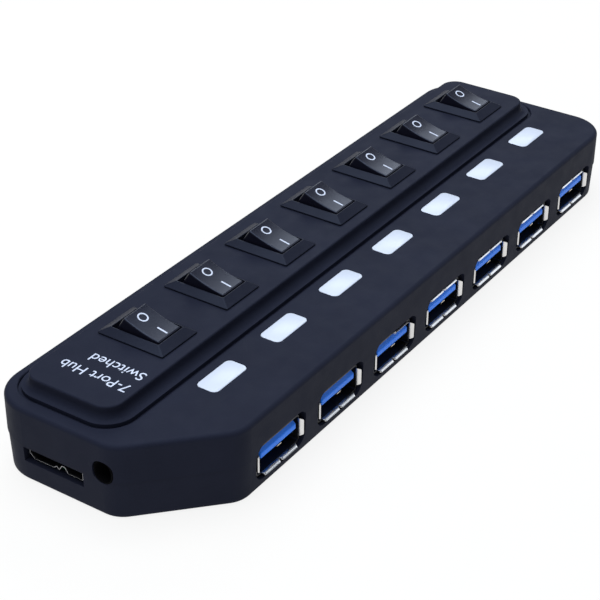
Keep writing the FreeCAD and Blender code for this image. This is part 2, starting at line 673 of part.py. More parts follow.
def make_switch_frame(k):
    """Switch housing: a bevelled bezel on the platform and a well below it that holds the axle."""
    label = f"switch_frame_{k}"
    rim_top = S.platform_top + S.bezel_rim
    bezel_top = S.platform_top + S.bezel_tall
    land = S.mouth_land * 2
    rim = box(label + "_rim", (S.bezel_wide, S.bezel_long, S.bezel_rim),
              (ZERO, ZERO, S.platform_top + S.bezel_rim / 2))
    bevel = frustum(label + "_bevel", (S.bezel_wide, S.bezel_long),
                    (S.mouth_wide + land, S.mouth_long + land), rim_top, bezel_top)
    trunk = box(label + "_trunk", (S.frame_wide, S.frame_long, S.frame_deep),
                (ZERO, ZERO, S.platform_top - S.frame_deep / 2))
    mouth_tall = bezel_top - S.well_top
    mouth = box(label + "_mouth", (S.mouth_wide, S.mouth_long, mouth_tall),
                (ZERO, ZERO, S.well_top + mouth_tall / 2))
    well_tall = S.well_top - S.well_floor
    well = box(label + "_well", (S.well_wide, S.well_long, well_tall),
               (ZERO, ZERO, S.well_floor + well_tall / 2))
    bearing = rod(label + "_bearing", S.axle_radius + S.axle_gap, S.frame_wide,
                  (-S.frame_wide / 2, ZERO, S.pivot_level), "x")
    solid = fuse(label + "_solid", [rim, bevel, trunk])
    frame = cut(label, solid, fuse(label + "_hollow", [mouth, well, bearing]))
    place(frame, (port_x(k), S.switch_middle, ZERO))


def make_rocker(k):
    """Rocker about its axle, pressed at the front. It is modelled level and then tilted."""
    label = f"rocker_{k}"
    waist = S.rocker_waist_half * 2
    top = S.rocker_top_half * 2
    upper = frustum(label + "_upper", (S.rocker_wide, waist), (S.rocker_wide, top),
                    S.rocker_waist, S.rocker_rise)
    lower_tall = S.rocker_waist + S.rocker_drop
    lower = box(label + "_lower", (S.rocker_wide, waist, lower_tall),
                (ZERO, ZERO, S.rocker_waist - lower_tall / 2))
    axle = rod(label + "_axle", S.axle_radius, S.axle_long, (-S.axle_long / 2, ZERO, ZERO), "x")
    hollow_centre = S.rocker_rise + root(S.rocker_hollow * S.rocker_hollow - top * top / 4)
    hollow = rod(label + "_hollow", S.rocker_hollow, S.bezel_wide,
                 (-S.bezel_wide / 2, ZERO, hollow_centre), "x")
    rocker = cut(label, fuse(label + "_solid", [upper, lower, axle]), hollow)
    tilt = FreeCAD.Rotation(FreeCAD.Vector(1, 0, 0), S.rocker_tilt.value)
    rocker.Placement = FreeCAD.Placement(FreeCAD.Vector(), tilt)
    place(rocker, (port_x(k), S.switch_middle, S.pivot_level))


# ---------------------------------------------------------------- connector end

UPLINK_MOUTH = -HALF_LENGTH + S.uplink_recess
POWER_FACE = -HALF_LENGTH + S.power_setback


def uplink_profile(name, margin, start, deep):
    """Two boxes side by side, joined by a lower-edge notch between them, all reduced by a margin."""
    span = S.uplink_large + S.uplink_gap + S.uplink_small
    tall = S.uplink_tall - margin * 2
    level = S.uplink_low + S.uplink_tall / 2
    middle_x = start + deep / 2
    large_y = S.uplink_middle + (span - S.uplink_large) / 2
    small_y = S.uplink_middle - (span - S.uplink_small) / 2
    bridge_y = S.uplink_middle + (S.uplink_small - S.uplink_large) / 2
    large = box(name + "_large", (deep, S.uplink_large - margin * 2, tall), (middle_x, large_y, level))
    small = box(name + "_small", (deep, S.uplink_small - margin * 2, tall), (middle_x, small_y, level))
    bridge_tall = tall / 2
    bridge = box(name + "_bridge", (deep, S.uplink_gap * 2, bridge_tall),
                 (middle_x, bridge_y, level + tall / 2 - bridge_tall / 2))
    return fuse(name, [large, small, bridge])


def make_uplink():
    """Ten-pin uplink socket: metal shell, and a tongue in each of its two halves."""
    outer = uplink_profile("uplink_outer", ZERO, UPLINK_MOUTH, S.uplink_deep)
    inner = uplink_profile("uplink_inner", S.uplink_sheet, UPLINK_MOUTH - S.wall, S.uplink_deep + S.wall * 2)
    cut("uplink_shell", outer, inner)
    tall = S.uplink_tall - S.uplink_sheet * 2
    level = S.uplink_low + S.uplink_tall / 2
    span = S.uplink_large + S.uplink_gap + S.uplink_small
    blades = []
    for name, wide, offset in (("large", S.uplink_large, (span - S.uplink_large) / 2),
                               ("small", S.uplink_small, (span - S.uplink_small) / -2)):
        y = S.uplink_middle + offset
        deep = S.uplink_deep - S.uplink_recess
        blade = (deep, wide * 0.62, S.uplink_tongue)
        x = UPLINK_MOUTH + S.uplink_recess + deep / 2
        blades.append(box(f"uplink_blade_{name}", blade, (x, y, level)))
        plug = (S.uplink_block, wide - S.uplink_sheet * 2, tall)
        x = UPLINK_MOUTH + S.uplink_deep - S.uplink_block / 2
        blades.append(box(f"uplink_block_{name}", plug, (x, y, level)))
    tongues = [fuse("uplink_tongue_large", blades[:2]), fuse("uplink_tongue_small", blades[2:])]
    group("uplink_tongues", tongues)


def make_power_jack():
    """Barrel jack: housing with a blind bore, the centre pin and the side spring."""
    tall = (S.power_level - BOARD_TOP) * 2 - S.power_trim
    centre = (POWER_FACE + S.power_body_long / 2, S.power_middle, BOARD_TOP + tall / 2)
    block = box("power_block", (S.power_body_long, S.power_body_wide, tall), centre)
    bore_long = S.power_body_long - S.wall
    bore = rod("power_bore", S.power_bore, bore_long * 2,
               (POWER_FACE - bore_long, S.power_middle, S.power_level), "x")
    cut("power_jack", block, bore)
    bottom = POWER_FACE + bore_long
    rod("power_pin", S.power_pin, S.power_pin_long,
        (bottom - S.power_pin_long, S.power_middle, S.power_level), "x")
    spring = (S.power_pin_long, S.contact_wide, S.contact_thick)
    box("power_spring", spring, (bottom - S.power_pin_long / 2, S.power_middle,
                                 S.power_level + S.power_bore - S.contact_thick * 1.5))


# ---------------------------------------------------------------- screws

def make_screws():
    """Cross-head self-tapping screws, driven from below."""
    screws = []
    for number, (x, y) in enumerate(SCREW_SPOTS, start=1):
        head_low = S.screw_sink_deep - S.screw_head_tall
        head = rod(f"head_{number}", S.screw_head, S.screw_head_tall, (x, y, head_low))
        shank = rod(f"shank_{number}", S.screw_radius, S.screw_long, (x, y, head_low))
        slots = []
        for turn in (0, 1):
            size = [S.screw_head * 1.3, S.screw_slot, S.screw_head_tall]
            if turn:
                size[0], size[1] = size[1], size[0]
            slots.append(box(f"slot_{number}_{turn}", size, (x, y, head_low)))
        screws.append(cut(f"screw_{number}", fuse(f"screw_solid_{number}", [head, shank]),
                          fuse(f"slots_{number}", slots)))
    group("case_screws", screws)


# ---------------------------------------------------------------- build and write

make_top_cover()
make_bottom_cover()
make_board()
make_components()
for port in PORTS:
    make_port_shell(port)
    make_port_tongue(port)
    make_light_window(port)
    make_switch_frame(port)
    make_rocker(port)
make_port_contacts()
make_uplink()
make_power_jack()
make_screws()
doc.recompute()

SINGLE_NODES = (
    "top_cover", "bottom_cover", "main_board", "hub_controllers", "crystal", "capacitors",
    "indicator_leds", "switch_terminals", "port_contacts", "uplink_shell", "uplink_tongues",
    "power_jack", "power_pin", "power_spring", "case_screws",
)
PORT_NODES = ("port_shell", "port_tongue", "light_window", "switch_frame", "rocker")
NODES = list(SINGLE_NODES) + [f"{name}_{port}" for name in PORT_NODES for port in PORTS]

for item in doc.Objects:
    if {"Invalid", "Error"} & set(item.State):
        raise RuntimeError(f"{item.Label} did not recompute: {item.State}")
finished = {label: doc.getObjectsByLabel(label)[0] for label in NODES}
for label, item in finished.items():
    if item.Shape.isNull() or not item.Shape.isValid():
        raise RuntimeError(f"{label} has no valid shape")

os.makedirs("parts", exist_ok=True)
for label, item in finished.items():
    item.Shape.exportStep(f"parts/{label}.step")
    print(f"{label}: {len(item.Shape.Solids)} solid(s), {item.Shape.Volume:.1f} mm3")
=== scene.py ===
import json
import math

import bmesh
import bpy
from mathutils import Matrix, Vector


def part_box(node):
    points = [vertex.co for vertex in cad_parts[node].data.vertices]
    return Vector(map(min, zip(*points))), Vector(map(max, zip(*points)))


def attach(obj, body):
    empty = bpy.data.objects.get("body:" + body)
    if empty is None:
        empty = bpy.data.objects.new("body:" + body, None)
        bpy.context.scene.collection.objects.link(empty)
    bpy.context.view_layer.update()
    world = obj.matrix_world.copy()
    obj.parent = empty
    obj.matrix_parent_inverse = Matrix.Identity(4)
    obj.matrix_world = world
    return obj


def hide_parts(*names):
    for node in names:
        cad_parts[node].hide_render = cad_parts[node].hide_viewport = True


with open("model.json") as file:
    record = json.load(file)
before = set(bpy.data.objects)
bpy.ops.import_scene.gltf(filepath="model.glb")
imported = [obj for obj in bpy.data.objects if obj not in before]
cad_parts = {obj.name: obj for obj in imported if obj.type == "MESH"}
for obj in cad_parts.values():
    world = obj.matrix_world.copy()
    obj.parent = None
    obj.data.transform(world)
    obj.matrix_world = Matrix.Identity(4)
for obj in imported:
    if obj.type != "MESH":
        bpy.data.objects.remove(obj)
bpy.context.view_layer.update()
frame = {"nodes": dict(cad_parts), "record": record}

# Seven-port USB hub. Metres, in the CAD frame: +X along the length, away from the connector end;
# -Y is the side with the ports; +Z is up.

MM = 0.001
PORTS = range(1, 8)


# ---------------------------------------------------------------- places taken from the frame

def node_box(node):
    low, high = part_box(node)
    return Vector(low), Vector(high)


CASE_LOW, CASE_HIGH = node_box("top_cover")
PLATFORM_TOP = CASE_HIGH.z
CONNECTOR_END = CASE_LOW.x


# ---------------------------------------------------------------- materials

def node_links(material):
    tree = material.node_tree
    return tree.nodes, tree.links


NOISE_DETAIL = 3.0
NOISE_ROUGHNESS = 0.55
NOISE_SPAN = (0.3, 0.7)     # nearly all of a noise's values lie between these


def noise(material, scale):
    """Noise in object coordinates: scale is in features per metre."""
    nodes, links = node_links(material)
    place = nodes.new("ShaderNodeTexCoord")
    texture = nodes.new("ShaderNodeTexNoise")
    texture.inputs["Scale"].default_value = scale
    texture.inputs["Detail"].default_value = NOISE_DETAIL
    texture.inputs["Roughness"].default_value = NOISE_ROUGHNESS
    links.new(place.outputs["Object"], texture.inputs["Vector"])
    return texture.outputs["Fac"]


def ramp(material, source, low, high):
    """A colour that goes from low to high over the middle of a noise."""
    nodes, links = node_links(material)
    mixer = nodes.new("ShaderNodeValToRGB")
    first, last = mixer.color_ramp.elements
    first.position, last.position = NOISE_SPAN
    first.color = (*low, 1)
    last.color = (*high, 1)
    links.new(source, mixer.inputs["Fac"])
    return mixer.outputs["Color"]


def spread(material, source, low, high):
    """A number that goes from low to high over the middle of a noise."""
    nodes, links = node_links(material)
    span = nodes.new("ShaderNodeMapRange")
    span.inputs["From Min"].default_value = NOISE_SPAN[0]
    span.inputs["From Max"].default_value = NOISE_SPAN[1]
    span.inputs["To Min"].default_value = low
    span.inputs["To Max"].default_value = high
    links.new(source, span.inputs["Value"])
    return span.outputs["Result"]


def bump(material, source, height):
    """A normal tilted by a noise, as if it stood height metres tall."""
    nodes, links = node_links(material)
    relief = nodes.new("ShaderNodeBump")
    relief.inputs["Distance"].default_value = height
    links.new(source, relief.inputs["Height"])
    return relief.outputs["Normal"]


BLUE_SHEEN = (0.62, 0.74, 1.0, 1.0)     # the cool tint that the black plastics reflect
GLOSS_FINENESS = 3                      # gloss patches to a colour patch's length


def shaded(colour, name, variation=0.08, patch=90.0, roughness=(0.4, 0.5), grain=3000.0,
           grain_height=0.01 * MM, metallic=0.0, specular=0.5, **constants):
    """A principled material with patchy colour, uneven gloss and a fine surface grain."""
    material = bpy.data.materials.new(name)
    material.use_nodes = True
    nodes, links = node_links(material)
    shader = nodes["Principled BSDF"]
    low = [channel * (1 - variation) for channel in colour]
    high = [channel * (1 + variation) for channel in colour]
    links.new(ramp(material, noise(material, patch), low, high), shader.inputs["Base Color"])
    gloss = noise(material, patch * GLOSS_FINENESS)
    links.new(spread(material, gloss, *roughness), shader.inputs["Roughness"])
    links.new(bump(material, noise(material, grain), grain_height), shader.inputs["Normal"])
    shader.inputs["Metallic"].default_value = metallic
    shader.inputs["Specular IOR Level"].default_value = specular
    for socket, value in constants.items():
        shader.inputs[socket.replace("_", " ")].default_value = value
    return material


CASE = shaded((0.0124, 0.0140, 0.0245), "case_plastic", roughness=(0.50, 0.60), grain=2600.0,
              grain_height=0.020 * MM, specular=0.40, IOR=1.15, Specular_Tint=BLUE_SHEEN)
SWITCH = shaded((0.0095, 0.0107, 0.0190), "switch_plastic", roughness=(0.34, 0.42), grain=2200.0,
                grain_height=0.006 * MM, specular=0.32, IOR=1.25, Specular_Tint=BLUE_SHEEN)
ROCKER = shaded((0.0062, 0.0058, 0.0115), "rocker_plastic", roughness=(0.26, 0.34), grain=1800.0,
                grain_height=0.002 * MM, specular=0.40, IOR=1.42, Specular_Tint=BLUE_SHEEN)
GUIDE = shaded((0.53, 0.57, 0.65), "light_guide", variation=0.02, roughness=(0.30, 0.38), grain=1500.0,
               grain_height=0.003 * MM, specular=0.4)
INK = shaded((0.52, 0.56, 0.66), "white_print", variation=0.04, roughness=(0.5, 0.6), grain=6000.0,
             grain_height=0.004 * MM)
BLUE = shaded((0.014, 0.200, 0.90), "tongue_plastic", variation=0.06, roughness=(0.32, 0.42), grain=1500.0,
              grain_height=0.004 * MM, specular=0.22)
# near-black: black plastic painted darker still as shade, for the sunk parts in the uplink and the DC hole
BLACK_AND_SHADE = shaded((0.0022, 0.0022, 0.0026), "inner_plastic", roughness=(0.60, 0.70), grain=2500.0,
               grain_height=0.01 * MM, specular=0.05, IOR=1.25)
NICKEL = shaded((0.72, 0.71, 0.70), "nickel_plate", variation=0.05, roughness=(0.22, 0.34), grain=1200.0,
                grain_height=0.004 * MM, metallic=1.0)
# nickel painted darker than the lips' as shade, for the uplink's rim sunk in the end face; lighter than the
# shell's, as the rim's painted lit edge
SHADED_RIM_NICKEL = shaded((0.30, 0.30, 0.31), "shaded_rim_nickel_plate", variation=0.30, patch=420.0,
                     roughness=(0.16, 0.30), grain=1200.0, grain_height=0.004 * MM, metallic=1.0)
# nickel painted near-black as shade, for the socket shells and their fingers inside the openings
SHADED_NICKEL = shaded((0.060, 0.060, 0.065), "shaded_nickel_plate", variation=0.10, roughness=(0.35, 0.45),
                       grain=1200.0, grain_height=0.004 * MM, metallic=1.0)
BRASS = shaded((0.74, 0.63, 0.46), "contact_plate", variation=0.08, roughness=(0.22, 0.34), grain=1800.0,
               grain_height=0.003 * MM, metallic=1.0)
ALUMINIUM = shaded((0.66, 0.67, 0.69), "can_metal", variation=0.05, roughness=(0.30, 0.42), grain=1500.0,
                   grain_height=0.004 * MM, metallic=1.0)
ZINC = shaded((0.16, 0.16, 0.17), "screw_zinc", variation=0.10, roughness=(0.35, 0.45), grain=1800.0,
              grain_height=0.006 * MM, metallic=1.0)
MASK = shaded((0.012, 0.095, 0.045), "solder_mask", variation=0.10, roughness=(0.25, 0.35), grain=900.0,
              grain_height=0.01 * MM)
CHIP = shaded((0.016, 0.016, 0.017), "chip_resin", roughness=(0.55, 0.65), grain=5000.0,
              grain_height=0.01 * MM)

NODE_MATERIALS = {
    "top_cover": CASE, "bottom_cover": CASE, "main_board": MASK, "hub_controllers": CHIP,
    "crystal": ALUMINIUM, "capacitors": ALUMINIUM, "indicator_leds": GUIDE, "switch_terminals": BRASS,
    "port_contacts": BRASS, "uplink_shell": NICKEL, "uplink_tongues": BLACK_AND_SHADE, "power_jack": BLACK_AND_SHADE,
    "power_pin": NICKEL, "power_spring": BRASS, "case_screws": ZINC, "port_shell": NICKEL,
    "port_tongue": BLUE, "light_window": GUIDE, "switch_frame": SWITCH, "rocker": ROCKER,
}


def paint(obj, material):
    obj.data.materials.clear()
    obj.data.materials.append(material)


def paint_frame():
    """Gives every CAD node its material: a numbered node takes that of its family."""
    for name, obj in frame["nodes"].items():
        family = name if name in NODE_MATERIALS else name.rsplit("_", 1)[0]
        paint(obj, NODE_MATERIALS[family])


# ---------------------------------------------------------------- mesh helpers

WELD_DISTANCE = 0.0005 * MM


def finish_piece(name, bm, material, body, sharp=32.0, soften=0.0, steps=3):
    """Turns a bmesh into a piece that rides on a body. soften rounds its edges by that many metres."""
    bmesh.ops.remove_doubles(bm, verts=bm.verts, dist=WELD_DISTANCE)
    bmesh.ops.recalc_face_normals(bm, faces=bm.faces)
    mesh = bpy.data.meshes.new(name)
    bm.to_mesh(mesh)
    bm.free()
    for face in mesh.polygons:
        face.use_smooth = True
    mesh.set_sharp_from_angle(angle=math.radians(sharp))
    obj = bpy.data.objects.new(name, mesh)
    bpy.context.collection.objects.link(obj)
    paint(obj, material)
    if soften:
        edges = obj.modifiers.new("soft_edges", "BEVEL")
        edges.width = soften
        edges.segments = steps
        edges.limit_method = "ANGLE"
        edges.angle_limit = math.radians(sharp)
        edges.harden_normals = True
    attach(obj, body)
    return obj


def rounded_loop(wide, tall, radius, steps=5):
    """Points of a rounded rectangle about the origin, anticlockwise."""
    points = []
    for quarter, (side, level) in enumerate(((1, -1), (1, 1), (-1, 1), (-1, -1))):
        centre = (side * (wide / 2 - radius), level * (tall / 2 - radius))
        for step in range(steps + 1):
            turn = math.radians(-90 + 90 * quarter + 90 * step / steps)
            points.append((centre[0] + radius * math.cos(turn), centre[1] + radius * math.sin(turn)))
    return points


def arc(centre, radius, start, end, steps):
    """Points of an arc, angles in degrees."""
    turns = [math.radians(start + (end - start) * step / steps) for step in range(steps + 1)]
    return [(centre[0] + radius * math.cos(turn), centre[1] + radius * math.sin(turn)) for turn in turns]


def circle(centre, radius, sides):
    return arc(centre, radius, 0, 360 - 360 / sides, sides - 1)


def loft(bm, rings, capped=(True, True)):
    """Joins rings of points, each with the same count, by quads. capped closes the first and last."""
    loops = [[bm.verts.new(point) for point in ring] for ring in rings]
    for near, far in zip(loops, loops[1:]):
        for k in range(len(near)):
            after = (k + 1) % len(near)
            bm.faces.new((near[k], near[after], far[after], far[k]))
    if capped[0]:
        bm.faces.new(loops[0])
    if capped[1]:
        bm.faces.new(loops[-1])


def tube(bm, rings):
    """A closed skin: the rings are joined in turn, and the last to the first."""
    loft(bm, list(rings) + [rings[0]], capped=(False, False))


def extrude_profile(bm, profile, low, high):
    """A prism: profile is a list of (y, z) points, swept along X from low to high."""
    loft(bm, [[(x, y, z) for y, z in profile] for x in (low, high)])


def block(bm, low, high):
    """A box between two corners, for parts whose edges are rounded by the piece's own bevel."""
    profile = [(low[1], low[2]), (high[1], low[2]), (high[1], high[2]), (low[1], high[2])]
    extrude_profile(bm, profile, low[0], high[0])


def move(bm, place, turn):
    """Turns what was drawn about the origin, then takes it to its place."""
    bmesh.ops.transform(bm, matrix=turn, verts=bm.verts)
    bmesh.ops.translate(bm, vec=place, verts=bm.verts)


# ---------------------------------------------------------------- rocker switches

ROCKER_WIDE = 6.4 * MM
ROCKER_TOP_HALF = 4.15 * MM
ROCKER_WAIST_HALF = 5.22 * MM
ROCKER_RISE = 4.3 * MM
ROCKER_WAIST = 0.5 * MM
ROCKER_DROP = 1.4 * MM
ROCKER_HOLLOW = 27.0 * MM
ROCKER_REST_TILT = 16.0
ROCKER_SOFT = 0.28 * MM
DISH_STEPS = 16
HOLLOW_CENTRE = ROCKER_RISE + math.sqrt(ROCKER_HOLLOW ** 2 - ROCKER_TOP_HALF ** 2)
AXLE_RADIUS = 0.9 * MM
AXLE_LONG = 8.1 * MM
AXLE_SIDES = 24
AXLE_SOFT = 0.1 * MM
MARK_RAISE = 0.012 * MM
MARK_SINK = 0.08 * MM
RING_MIDDLE = 2.1 * MM
RING_RADII = (1.08 * MM, 0.78 * MM)
RING_SIDES = 48
BAR_MIDDLE = -2.45 * MM
BAR_LONG = 2.3 * MM
BAR_WIDE = 0.36 * MM
BAR_CORNER = BAR_WIDE * 0.3
BAR_CORE = (0.2, 0.8)       # the flat core's share of the bar's width and length


def hollow_level(y):
    """Height of the rocker's dished top above its axle."""
    return HOLLOW_CENTRE - math.sqrt(ROCKER_HOLLOW ** 2 - y * y)


def rocker_profile():
    """Side view of the rocker in (y, z) about its axle: a straight foot under a dished top."""
    half = math.degrees(math.asin(ROCKER_TOP_HALF / ROCKER_HOLLOW))
    dish = arc((0, HOLLOW_CENTRE), ROCKER_HOLLOW, 270 + half, 270 - half, DISH_STEPS)
    foot = [(-ROCKER_WAIST_HALF, ROCKER_WAIST), (-ROCKER_WAIST_HALF, -ROCKER_DROP),
            (ROCKER_WAIST_HALF, -ROCKER_DROP), (ROCKER_WAIST_HALF, ROCKER_WAIST)]
    return foot + dish


def at_rest(k):
    """The place of the rocker's axle, and the turn that tilts the rocker as it rests."""
    joints = {joint["name"]: joint for joint in frame["record"]["behaviour"]["joints"]}
    place = Vector(joints[f"rocker_{k}_tilt"]["pos_m"])
    return place, Matrix.Rotation(math.radians(ROCKER_REST_TILT), 4, "X")


def make_rocker(k):
    place, tilt = at_rest(k)
    bm = bmesh.new()
    extrude_profile(bm, rocker_profile(), -ROCKER_WIDE / 2, ROCKER_WIDE / 2)
    move(bm, place, tilt)
    rocker = finish_piece(f"rocker_button_{k}", bm, ROCKER, f"rocker_body_{k}",
                          soften=ROCKER_SOFT)
    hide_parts(f"rocker_{k}")
    bm = bmesh.new()
    extrude_profile(bm, circle((0, 0), AXLE_RADIUS, AXLE_SIDES), -AXLE_LONG / 2, AXLE_LONG / 2)
    move(bm, place, tilt)
    finish_piece(f"rocker_axle_{k}", bm, ROCKER, f"rocker_body_{k}", soften=AXLE_SOFT)


def dished_plate(bm, loops):
    """A thin inlay that follows the rocker's dish, between an outer and an inner loop of (x, y)."""
    over = [[(x, y, hollow_level(y) + MARK_RAISE) for x, y in loop] for loop in loops]
    under = [[(x, y, hollow_level(y) - MARK_SINK) for x, y in loop] for loop in loops]
    tube(bm, [over[0], over[1], under[1], under[0]])


def make_marks(k):
    """The off and on marks printed on the rocker: a ring on the raised half, a bar on the pressed one."""
    place, tilt = at_rest(k)
    bm = bmesh.new()
    dished_plate(bm, [circle((0, RING_MIDDLE), radius, RING_SIDES) for radius in RING_RADII])
    outline = rounded_loop(BAR_WIDE, BAR_LONG, BAR_CORNER)
    outer = [(x, y + BAR_MIDDLE) for x, y in outline]
    core = [(x * BAR_CORE[0], y * BAR_CORE[1] + BAR_MIDDLE) for x, y in outline]
    dished_plate(bm, [outer, core])
    bm.faces.new([bm.verts.new((x, y, hollow_level(y) + MARK_RAISE)) for x, y in core])
    move(bm, place, tilt)
    finish_piece(f"rocker_marks_{k}", bm, INK, f"rocker_body_{k}", sharp=60)


BEZEL_LONG = 15.0 * MM
BEZEL_WIDE = 10.5 * MM
BEZEL_RIM = 0.35 * MM
BEZEL_CORNER = 0.35 * MM
BEZEL_UNDERCUT = 0.7 * MM
BEZEL_SHADOW = (0.17 * MM, 0.18 * MM)       # above the platform: the undercut's top, the bezel's underside
BEZEL_EDGE = 0.07 * MM
MOUTH_LONG = 10.8 * MM
MOUTH_WIDE = 7.2 * MM
MOUTH_LAND = 0.16 * MM
MOUTH_CORNER = 0.2 * MM
TRUNK_LONG = 13.2 * MM
TRUNK_WIDE = 8.5 * MM
TRUNK_DEEP = 10.2 * MM
TRUNK_CORNER = 0.2 * MM
WELL_LONG = 11.7 * MM
WELL_TOP = 0.4 * MM
WELL_DEEP = 4.8 * MM
WELL_CORNER = 0.18 * MM


def make_switch_frame(k):
    """Bezel, trunk and well of one switch as a single skin of rounded rectangles."""
    low, high = node_box(f"switch_frame_{k}")
    middle = (low + high) / 2
    base = low.z + TRUNK_DEEP
    crown = high.z
    edge = BEZEL_EDGE
    rim_top = base + BEZEL_RIM
    shadow_wide, shadow_long = BEZEL_WIDE - BEZEL_UNDERCUT, BEZEL_LONG - BEZEL_UNDERCUT
    shadow_top, bezel_low = (base + rise for rise in BEZEL_SHADOW)
    sections = [
        (TRUNK_WIDE, TRUNK_LONG, TRUNK_CORNER, low.z),
        (TRUNK_WIDE, TRUNK_LONG, TRUNK_CORNER, base),
        (shadow_wide, shadow_long, BEZEL_CORNER, base),
        (shadow_wide, shadow_long, BEZEL_CORNER, shadow_top),
        (BEZEL_WIDE, BEZEL_LONG, BEZEL_CORNER, bezel_low),
        (BEZEL_WIDE, BEZEL_LONG, BEZEL_CORNER, rim_top - edge),
        (BEZEL_WIDE - edge, BEZEL_LONG - edge, BEZEL_CORNER, rim_top),
        (MOUTH_WIDE + MOUTH_LAND * 3, MOUTH_LONG + MOUTH_LAND * 3, MOUTH_CORNER * 1.4, crown - edge * 0.7),
        (MOUTH_WIDE + MOUTH_LAND * 2, MOUTH_LONG + MOUTH_LAND * 2, MOUTH_CORNER * 1.2, crown),
        (MOUTH_WIDE + edge, MOUTH_LONG + edge, MOUTH_CORNER, crown),
        (MOUTH_WIDE, MOUTH_LONG, WELL_CORNER, crown - edge),
        (MOUTH_WIDE, MOUTH_LONG, WELL_CORNER, base - WELL_TOP),
        (MOUTH_WIDE, WELL_LONG, WELL_CORNER, base - WELL_TOP),
        (MOUTH_WIDE, WELL_LONG, WELL_CORNER, base - WELL_DEEP),
    ]
    bm = bmesh.new()
    rings = []
    for wide, long, radius, level in sections:
        loop = rounded_loop(wide, long, radius, steps=3)
        rings.append([(middle.x + x, middle.y + y, level) for x, y in loop])
    loft(bm, rings)
    bezel = finish_piece(f"switch_bezel_{k}", bm, SWITCH, "hub", sharp=25)
    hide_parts(f"switch_frame_{k}")


# ---------------------------------------------------------------- USB-A sockets

SHELL_WIDE = 13.4 * MM
SHELL_TALL = 6.0 * MM
SHELL_SHEET = 0.3 * MM
SHELL_CORNER = 0.7 * MM
FLARE_REACH = 0.95 * MM
LONG_TAB = 10.5 * MM
SIDE_TAB = 3.7 * MM
SIDE_TAB_RISE = 0.25 * MM
TAB_CORNER = 0.45 * MM
SEAM = 0.16 * MM
LIP_TURN = 62.0
BOTTOM_LIP_BEND = 0.45 * MM
BOTTOM_LIP_STRAIGHT = 0.27 * MM
SIDE_LIP_BEND = 0.75 * MM
UPPER_LIP_BEND = 0.55 * MM
UPPER_LIP_TURN = 54.0
FIRST_UPPER_LIP = 3     # upper lips are on this socket's far half and on every socket after it
FIRST_UPPER_LIP_TURN = 72.0
FINGER_ASIDE = 3.1 * MM
FINGER_ROOT = 7.5 * MM
FINGER_WIDE = 2.2 * MM
FINGER_LONG = 5.6 * MM
FINGER_DIP = 0.45 * MM
FINGER_TAPER = 0.35     # share of its width that a finger loses towards its tip
FINGER_CURL = 0.62      # share of half a turn over which a finger dips and starts to rise again
FINGER_STRAIGHT = 0.9   # share of its length after which a finger dips no further
FINGER_SHEET = SHELL_SHEET * 0.7
TONGUE_WIDE = 11.0 * MM
TONGUE_THICK = 1.84 * MM
TONGUE_RISE = 1.25 * MM
TONGUE_LIP = 1.15 * MM
TONGUE_SLOPE = 0.75 * MM
TONGUE_SOFT = 0.22 * MM
BLOCK_WIDE = 12.3 * MM
BLOCK_DEEP = 2.0 * MM
BLOCK_TALL = 4.9 * MM


def flared_tab(bm, along, outward, root, length, bend, turn, straight=0.0):
    """A lip of sheet metal that bends outwards from the shell's wall, with rounded outer corners.

    along and outward are unit vectors across the mouth, and root is the middle of the wall where the lip
    starts. The lip runs straight first, then bends by turn degrees.
    """
    columns = 18
    rows = 8
    turn = math.radians(turn)
    reach = straight + bend * turn
    forward = Vector((0, -1, 0))
    skins = ([], [])
    for column in range(columns + 1):
        u = length * (column / columns - 0.5)
        over = max(0.0, abs(u) - (length / 2 - TAB_CORNER))
        trimmed = TAB_CORNER - math.sqrt(max(TAB_CORNER ** 2 - over ** 2, 0.0))
        for skin in skins:
            skin.append([])
        for row in range(rows + 1):
            travel = (reach - trimmed) * row / rows
            angle = max(travel - straight, 0.0) / bend
            level = min(travel, straight) + bend * math.sin(angle)
            outer = forward * level + outward * (bend * (1 - math.cos(angle)))
            inner = outer + (forward * math.sin(angle) - outward * math.cos(angle)) * SHELL_SHEET
            for skin, offset in zip(skins, (outer, inner)):
                skin[-1].append(bm.verts.new(root + along * u + offset))
    outer, inner = skins
    for column in range(columns):
        for row in range(rows):
            for skin in skins:
                bm.faces.new((skin[column][row], skin[column + 1][row],
                              skin[column + 1][row + 1], skin[column][row + 1]))
        for row in (0, rows):
            bm.faces.new((outer[column][row], outer[column + 1][row],
                          inner[column + 1][row], inner[column][row]))
    for column in (0, columns):
        for row in range(rows):
            bm.faces.new((outer[column][row], outer[column][row + 1],
                          inner[column][row + 1], inner[column][row]))


def spring_finger(bm, root, outward):
    """A contact finger punched from a wall of the shell and bent inwards."""
    steps = 8
    across = Vector((0, 1, 0)).cross(outward)
    rings = []
    for step in range(steps + 1):
        share = step / steps
        along = Vector((0, -FINGER_LONG * share, 0))
        turn = math.pi * min(share, FINGER_STRAIGHT) * FINGER_CURL
        inward = outward * (-FINGER_DIP * math.sin(turn))
        half = FINGER_WIDE / 2 * (1 - FINGER_TAPER * share)
        sheet = outward * -FINGER_SHEET
        corners = ((-half, 0), (half, 0), (half, 1), (-half, 1))
        rings.append([root + along + inward + across * side + sheet * layer for side, layer in corners])
    loft(bm, rings)


def place_fingers(bm, middle, front, up):
    """Two fingers in the shell's upper wall and two in its lower one."""
    wall = SHELL_TALL / 2 - SHELL_SHEET
    for level in (-1, 1):
        for side in (-1, 1):
            place = (middle.x + FINGER_ASIDE * side, front + FINGER_ROOT, middle.z + wall * level)
            spring_finger(bm, Vector(place), up * level)


